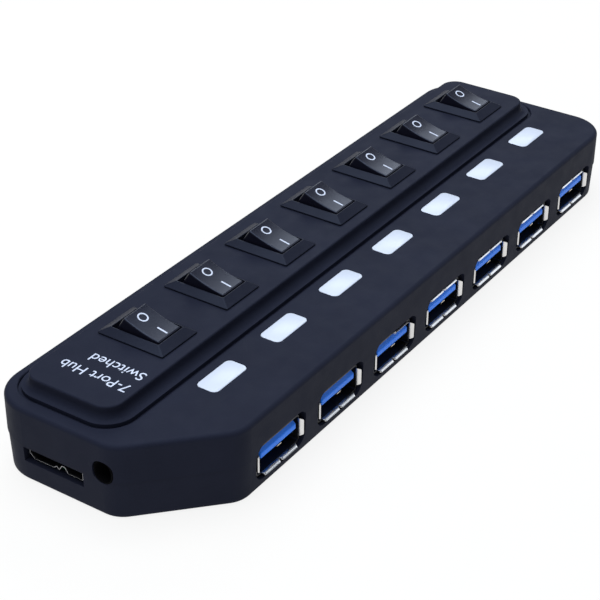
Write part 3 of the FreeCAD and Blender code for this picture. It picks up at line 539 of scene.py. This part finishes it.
def place_lips(bm, k, mouth, right, up):
    """Side lips and a split lower one on every socket, and upper ones from FIRST_UPPER_LIP on."""
    half_tab = LONG_TAB / 2 - SEAM
    for side in (-1, 1):
        centre = mouth + right * (side * (LONG_TAB + SEAM) / 4)
        flared_tab(bm, right, -up, centre - up * (SHELL_TALL / 2), half_tab, BOTTOM_LIP_BEND, LIP_TURN,
                   BOTTOM_LIP_STRAIGHT)
        if k + side / 2 > FIRST_UPPER_LIP:
            turn = UPPER_LIP_TURN if k > FIRST_UPPER_LIP else FIRST_UPPER_LIP_TURN
            flared_tab(bm, right, up, centre + up * (SHELL_TALL / 2), half_tab, UPPER_LIP_BEND, turn)
        edge = mouth + right * (side * SHELL_WIDE / 2) + up * SIDE_TAB_RISE
        flared_tab(bm, up, right * side, edge, SIDE_TAB, SIDE_LIP_BEND, LIP_TURN)


def make_socket_shell(k):
    """The folded shell with its contact fingers, and the lips round its mouth."""
    low, high = node_box(f"port_shell_{k}")
    middle = (low + high) / 2
    front = low.y + FLARE_REACH
    right, up = Vector((1, 0, 0)), Vector((0, 0, 1))
    bm = bmesh.new()
    outer = rounded_loop(SHELL_WIDE, SHELL_TALL, SHELL_CORNER)
    inner = rounded_loop(SHELL_WIDE - SHELL_SHEET * 2, SHELL_TALL - SHELL_SHEET * 2,
                         SHELL_CORNER - SHELL_SHEET)
    rings = []
    for loop, depth in ((outer, high.y), (outer, front), (inner, front), (inner, high.y)):
        rings.append([(middle.x + x, depth, middle.z + z) for x, z in loop])
    tube(bm, rings)
    place_fingers(bm, middle, front, up)
    # the shell and its fingers are painted in shade-dark nickel; the lips stay plain nickel
    shell = finish_piece(f"socket_shell_{k}", bm, SHADED_NICKEL, "hub", sharp=40)
    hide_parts(f"port_shell_{k}")
    bm = bmesh.new()
    place_lips(bm, k, Vector((middle.x, front, middle.z)), right, up)
    finish_piece(f"socket_lips_{k}", bm, NICKEL, "hub", sharp=40)


def make_socket_tongue(k):
    """The blue insert: a tongue with a sloped front over a lip, and the block that closes the shell."""
    low, high = node_box(f"port_tongue_{k}")
    middle = (low + high) / 2
    block_front = high.y - BLOCK_DEEP
    bottom = middle.z + TONGUE_RISE - TONGUE_THICK / 2
    top = bottom + TONGUE_THICK
    bm = bmesh.new()
    profile = [(low.y, bottom), (block_front, bottom), (block_front, top), (low.y + TONGUE_SLOPE, top),
               (low.y, bottom + TONGUE_LIP)]
    extrude_profile(bm, profile, middle.x - TONGUE_WIDE / 2, middle.x + TONGUE_WIDE / 2)
    block_half = Vector((BLOCK_WIDE, BLOCK_DEEP, BLOCK_TALL)) / 2
    centre = Vector((middle.x, block_front + block_half.y, middle.z))
    block(bm, centre - block_half, centre + block_half)
    tongue = finish_piece(f"socket_tongue_{k}", bm, BLUE, "hub", soften=TONGUE_SOFT)
    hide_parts(f"port_tongue_{k}")


SPRING_PITCH = 2.2 * MM
SPRING_WIDE = 0.9 * MM
SPRING_SHEET = 0.16 * MM
SPRING_CREST = ((4.4, 0), (5.2, 0.55), (5.7, 0.6), (8.5, 0.1))  # mm: back from the tongue's front, and down
SPRING_TAIL = 0.1 * MM
PAD_PITCH = 1.9 * MM
PAD_SETBACK = 0.6 * MM
PAD_DROP = 0.12 * MM
PAD_SIZE = Vector((0.7, 2.4, 0.14)) * MM
HOOK_SETBACK = 0.5 * MM
HOOK_RADII = (0.62 * MM, 0.4 * MM)
HOOK_SIDES = (-0.5 * MM, 0.7 * MM)
HOOK_STEPS = 12


def make_socket_contacts():
    """Under every tongue: four springs, five pads, and the earthing hook at the middle one's front."""
    bm = bmesh.new()
    for k in PORTS:
        low, high = node_box(f"port_tongue_{k}")
        middle = (low + high) / 2
        under = middle.z + TONGUE_RISE - TONGUE_THICK / 2
        crest = [(low.y + back * MM, under - drop * MM) for back, drop in SPRING_CREST]
        crest.append((high.y - BLOCK_DEEP, under - SPRING_TAIL))
        strip = crest + [(y, z + SPRING_SHEET) for y, z in reversed(crest)]
        for step in (-1.5, -0.5, 0.5, 1.5):
            x = middle.x + SPRING_PITCH * step
            extrude_profile(bm, strip, x - SPRING_WIDE / 2, x + SPRING_WIDE / 2)
        for step in range(-2, 3):
            x = middle.x + PAD_PITCH * step
            near = Vector((x - PAD_SIZE.x / 2, low.y + PAD_SETBACK, under - PAD_DROP))
            block(bm, near, near + PAD_SIZE)
        centre = (low.y + HOOK_SETBACK, under)
        outer, inner = HOOK_RADII
        hook = arc(centre, outer, 180, 360, HOOK_STEPS) + arc(centre, inner, 360, 180, HOOK_STEPS)
        near, far = (middle.x + side for side in HOOK_SIDES)
        extrude_profile(bm, hook, near, far)
    contacts = finish_piece("socket_contacts", bm, BRASS, "hub", soften=0.04 * MM, steps=2)
    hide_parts("port_contacts")


# ---------------------------------------------------------------- connector end

UPLINK_SHEET = 0.25 * MM
UPLINK_SMALL = 4.2 * MM
UPLINK_LARGE_START = 5.2 * MM
UPLINK_RIM = 0.08 * MM
UPLINK_PINS = 5             # in each of the two bays
BLADE_SHARE = 0.31          # half a tongue's width as a share of its bay's
BLADE_SETBACK = 0.7 * MM
BLADE_END = 0.4 * MM
BLADE_HALF_TALL = 0.25 * MM
UPLINK_BLOCK_DEEP = 1.5 * MM
UPLINK_BLOCK_RAISE = 0.3 * MM
PIN_SETBACK = 0.9 * MM
PIN_SHARE = 0.28            # half a pin's width as a share of the pins' pitch
PIN_LEVELS = (0.24 * MM, 0.33 * MM)


def inset_outline(points, margin):
    """An anticlockwise outline moved inwards by margin."""
    corners = [Vector(point) for point in points]
    moved = []
    for before, here, after in zip(corners[-1:] + corners[:-1], corners, corners[1:] + corners[:1]):
        near = (here - before).normalized().orthogonal()
        far = (after - here).normalized().orthogonal()
        moved.append(here + (near + far) * (margin / (1 + near.dot(far))))
    return moved


def uplink_outline(low, high):
    """Outline in (y, z) of the uplink shell: a small bay, a bridge with a folded lip, and a large bay."""
    small_end = low.y + UPLINK_SMALL
    large_start = low.y + UPLINK_LARGE_START
    bottom = low.z
    notch = (low.z + high.z) / 2
    return [(low.y, bottom + 0.2 * MM), (low.y + 0.2 * MM, bottom), (small_end - 0.75 * MM, bottom),
            (small_end, notch), (large_start - 0.4 * MM, notch), (large_start + 0.25 * MM, bottom),
            (large_start + 0.85 * MM, bottom + 0.5 * MM), (large_start + 1.6 * MM, bottom),
            (high.y - 1.1 * MM, bottom), (high.y, bottom + 0.95 * MM), (high.y, high.z), (low.y, high.z)]


def make_uplink():
    """The uplink's shell and rim, painted as shade-dark nickel with a lighter lit edge, and in each bay a
    tongue on a block with pins on top.
    """
    low, high = node_box("uplink_shell")
    outline = uplink_outline(low, high)
    rim = low.x + UPLINK_RIM
    sections = {
        "shell": ((0, high.x), (0, rim), (UPLINK_SHEET * 0.6, rim), (UPLINK_SHEET, rim + 0.5 * MM),
                  (UPLINK_SHEET, high.x)),
        "rim": ((0, rim), (0.02 * MM, low.x), (UPLINK_SHEET * 0.5, low.x), (UPLINK_SHEET * 0.6, rim)),
    }
    for part, material in (("shell", SHADED_NICKEL), ("rim", SHADED_RIM_NICKEL)):
        bm = bmesh.new()
        rings = []
        for margin, depth in sections[part]:
            rings.append([(depth, y, z) for y, z in inset_outline(outline, margin)])
        tube(bm, rings)
        finish_piece(f"uplink_socket_{part}", bm, material, "hub")
    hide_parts("uplink_shell")
    bm = bmesh.new()
    contacts = bmesh.new()
    level = (low.z + high.z) / 2
    block_front = high.x - UPLINK_BLOCK_DEEP
    for start, end in ((low.y, low.y + UPLINK_SMALL), (low.y + UPLINK_LARGE_START, high.y)):
        centre = (start + end) / 2
        half = (end - start) * BLADE_SHARE
        block(bm, (low.x + BLADE_SETBACK, centre - half, level - BLADE_HALF_TALL),
              (high.x - BLADE_END, centre + half, level + BLADE_HALF_TALL))
        block(bm, (block_front, start + UPLINK_SHEET, low.z + UPLINK_SHEET + UPLINK_BLOCK_RAISE),
              (high.x, end - UPLINK_SHEET, high.z - UPLINK_SHEET))
        pitch = half * 2 / UPLINK_PINS
        pin_low, pin_high = (level + rise for rise in PIN_LEVELS)
        for number in range(UPLINK_PINS):
            y = centre - half + pitch * (number + 0.5)
            block(contacts, (low.x + PIN_SETBACK, y - pitch * PIN_SHARE, pin_low),
                  (block_front, y + pitch * PIN_SHARE, pin_high))
    tongues = finish_piece("uplink_socket_tongues", bm, BLACK_AND_SHADE, "hub", soften=0.08 * MM)
    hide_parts("uplink_tongues")
    finish_piece("uplink_socket_contacts", contacts, BRASS, "hub", soften=0.02 * MM,
                 steps=1)


COLLAR_WIDE = 4.12 * MM
COLLAR_TALL = 4.6 * MM
COLLAR_CORNER = 1.95 * MM
COLLAR_SETBACK = 0.25 * MM
COLLAR_EDGE = 0.08 * MM
COLLAR_WALL = 0.30 * MM
BORE_INSET = 0.36 * MM
HOUSING_SETBACK = 0.02 * MM


def make_power_jack():
    """The DC socket: a housing, and a black collar with a blind bore, which fills the case's hole; both
    painted darker than black plastic, as shade.
    """
    low, high = node_box("power_jack")
    pin_low, pin_high = node_box("power_pin")
    centre = (pin_low + pin_high) / 2
    face = CONNECTOR_END + COLLAR_SETBACK
    edge = COLLAR_EDGE
    bm = bmesh.new()
    rings = []
    for inset, x in ((0, low.x), (0, face + edge), (edge, face), (COLLAR_WALL - edge, face),
                     (COLLAR_WALL, face + edge), (BORE_INSET, pin_high.x)):
        loop = rounded_loop(COLLAR_WIDE - inset * 2, COLLAR_TALL - inset * 2, COLLAR_CORNER - inset, 10)
        rings.append([(x, centre.y + y, centre.z + z) for y, z in loop])
    loft(bm, rings, capped=(False, True))
    finish_piece("power_socket_collar", bm, BLACK_AND_SHADE, "hub", sharp=50)
    body = bmesh.new()
    block(body, low + Vector((HOUSING_SETBACK, 0, 0)), high)
    housing = finish_piece("power_socket_body", body, BLACK_AND_SHADE, "hub", soften=0.3 * MM)
    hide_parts("power_jack")


# ---------------------------------------------------------------- light windows

WINDOW_LONG = 10.1 * MM
WINDOW_WIDE = 4.64 * MM
WINDOW_CORNER = 1.2 * MM
WINDOW_EDGE = 0.14 * MM
WINDOW_GAP = 0.05 * MM      # between the window and the edge of its hole in the deck
ARM_DROP = 1.85 * MM        # from the deck down to the arm
ARM_THICK = 1.1 * MM
LEG_WIDE = 4.0 * MM


def make_window(k):
    """The window flush with the deck, the arm under the deck and the leg over the LED."""
    low, high = node_box(f"light_window_{k}")
    middle = (low + high) / 2
    front = low.y + ARM_THICK / 2
    centre_y = front + WINDOW_WIDE / 2 + WINDOW_GAP
    arm_top = high.z - ARM_DROP
    edge = WINDOW_EDGE
    bm = bmesh.new()
    rings = []
    for inset, level in ((0, arm_top), (0, high.z - edge), (edge * 0.3, high.z - edge * 0.35),
                         (edge, high.z)):
        loop = rounded_loop(WINDOW_LONG - inset * 2, WINDOW_WIDE - inset * 2, WINDOW_CORNER - inset, 8)
        rings.append([(middle.x + x, centre_y + y, level) for x, y in loop])
    loft(bm, rings)
    block(bm, (low.x + ARM_THICK, low.y, arm_top - ARM_THICK), (high.x - ARM_THICK, high.y, arm_top))
    block(bm, (middle.x - LEG_WIDE / 2, high.y - ARM_THICK, low.z),
          (middle.x + LEG_WIDE / 2, high.y, arm_top - ARM_THICK))
    window = finish_piece(f"light_guide_{k}", bm, GUIDE, "hub", sharp=40)
    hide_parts(f"light_window_{k}")


# ---------------------------------------------------------------- print on the platform

PRINT_SIZE = 3.35 * MM
PRINT_START = -1.1 * MM
PRINT_LINES = (("7-Port Hub", -67.8 * MM), ("Switched", -63.45 * MM))
PRINT_THICK = 0.012 * MM


def make_print():
    """Two plain lines of print that read from the port side towards +Y."""
    quarter_turn = Matrix(((0, -1, 0, 0), (1, 0, 0, 0), (0, 0, 1, 0), (0, 0, 0, 1)))
    for number, (words, baseline) in enumerate(PRINT_LINES, start=1):
        curve = bpy.data.curves.new(f"words_{number}", "FONT")
        curve.body = words
        curve.size = PRINT_SIZE
        curve.extrude = PRINT_THICK
        letters = bpy.data.objects.new(f"words_{number}", curve)
        bpy.context.collection.objects.link(letters)
        bpy.context.view_layer.update()
        solid = letters.evaluated_get(bpy.context.evaluated_depsgraph_get())
        shape = bpy.data.meshes.new_from_object(solid)
        bpy.data.objects.remove(letters)
        bm = bmesh.new()
        bm.from_mesh(shape)
        move(bm, Vector((baseline, PRINT_START, PLATFORM_TOP + PRINT_THICK)), quarter_turn)
        finish_piece(f"platform_print_{number}", bm, INK, "hub")


# ---------------------------------------------------------------- floor, lights and camera

FLOOR_HALF = 6.0
FLOOR_DROP = 0.03 * MM      # keeps the floor out of the plane of the case's flat underside
COOL_WHITE = (0.86, 0.92, 1.0)
SKY = (0.78, 0.86, 1.0, 1)
SKY_STRENGTH = 0.30
CAMERA_PLACE = Vector((-247.75, -156.35, 182.68)) * MM
CAMERA_AZIMUTH = -56.18
CAMERA_ELEVATION = 31.79
CAMERA_ROLL = 0.357
CAMERA_LENS = 99.5


def make_floor():
    """A plain pale sheet with an even glow of its own, so that it fades into the background."""
    grid = bmesh.new()
    around = ((-1, -1), (1, -1), (1, 1), (-1, 1))
    corners = [grid.verts.new((x * FLOOR_HALF, y * FLOOR_HALF, -FLOOR_DROP)) for x, y in around]
    grid.faces.new(corners)
    mesh = bpy.data.meshes.new("floor")
    grid.to_mesh(mesh)
    grid.free()
    floor = bpy.data.objects.new("floor", mesh)
    bpy.context.collection.objects.link(floor)
    paper = shaded((0.12, 0.115, 0.105), "floor_paper", variation=0.01, roughness=(0.8, 0.9), grain=400.0,
                   specular=0.0, Emission_Color=(1, 1, 1, 1), Emission_Strength=0.84)
    paint(floor, paper)


def aim(obj, place, target, roll=0.0):
    toward = (target - place).to_track_quat("-Z", "Y").to_matrix().to_4x4()
    obj.matrix_world = Matrix.Translation(place) @ toward @ Matrix.Rotation(roll, 4, "Z")


def area_light(name, place, size, power):
    """A soft box at a place in metres, aimed at the hub: size in metres, power in watts."""
    lamp = bpy.data.lights.new(name, "AREA")
    lamp.shape = "RECTANGLE"
    lamp.size, lamp.size_y = size
    lamp.energy = power
    lamp.color = COOL_WHITE
    obj = bpy.data.objects.new(name, lamp)
    bpy.context.collection.objects.link(obj)
    aim(obj, Vector(place), Vector((0, 0, 0)))


def make_light():
    area_light("overhead_softbox", (-0.05, 0.10, 0.75), (0.9, 0.7), 8.7)
    area_light("far_softbox", (0.72, 0.39, 0.57), (0.5, 0.35), 2.1)
    area_light("port_side_softbox", (0.80, -0.46, 0.42), (0.5, 0.55), 1.2)
    area_light("end_softbox", (-0.85, -0.10, 0.40), (0.6, 0.5), 0.8)
    world = bpy.data.worlds.new("studio")
    world.use_nodes = True
    background = world.node_tree.nodes["Background"]
    background.inputs["Color"].default_value = SKY
    background.inputs["Strength"].default_value = SKY_STRENGTH
    bpy.context.scene.world = world
    bpy.context.scene.view_settings.view_transform = "Standard"


def make_camera():
    azimuth = math.radians(CAMERA_AZIMUTH)
    elevation = math.radians(CAMERA_ELEVATION)
    level = math.cos(elevation)
    toward = Vector((-math.sin(azimuth) * level, math.cos(azimuth) * level, -math.sin(elevation)))
    lens = bpy.data.cameras.new("camera")
    lens.lens = CAMERA_LENS
    lens.clip_start = 0.01
    lens.clip_end = 20
    camera = bpy.data.objects.new("camera", lens)
    bpy.context.collection.objects.link(camera)
    aim(camera, CAMERA_PLACE, CAMERA_PLACE + toward, math.radians(CAMERA_ROLL))
    bpy.context.scene.camera = camera


paint_frame()
for port in PORTS:
    make_rocker(port)
    make_marks(port)
    make_switch_frame(port)
    make_socket_shell(port)
    make_socket_tongue(port)
    make_window(port)
make_socket_contacts()
make_uplink()
make_power_jack()
make_print()
make_floor()
make_light()
make_camera()
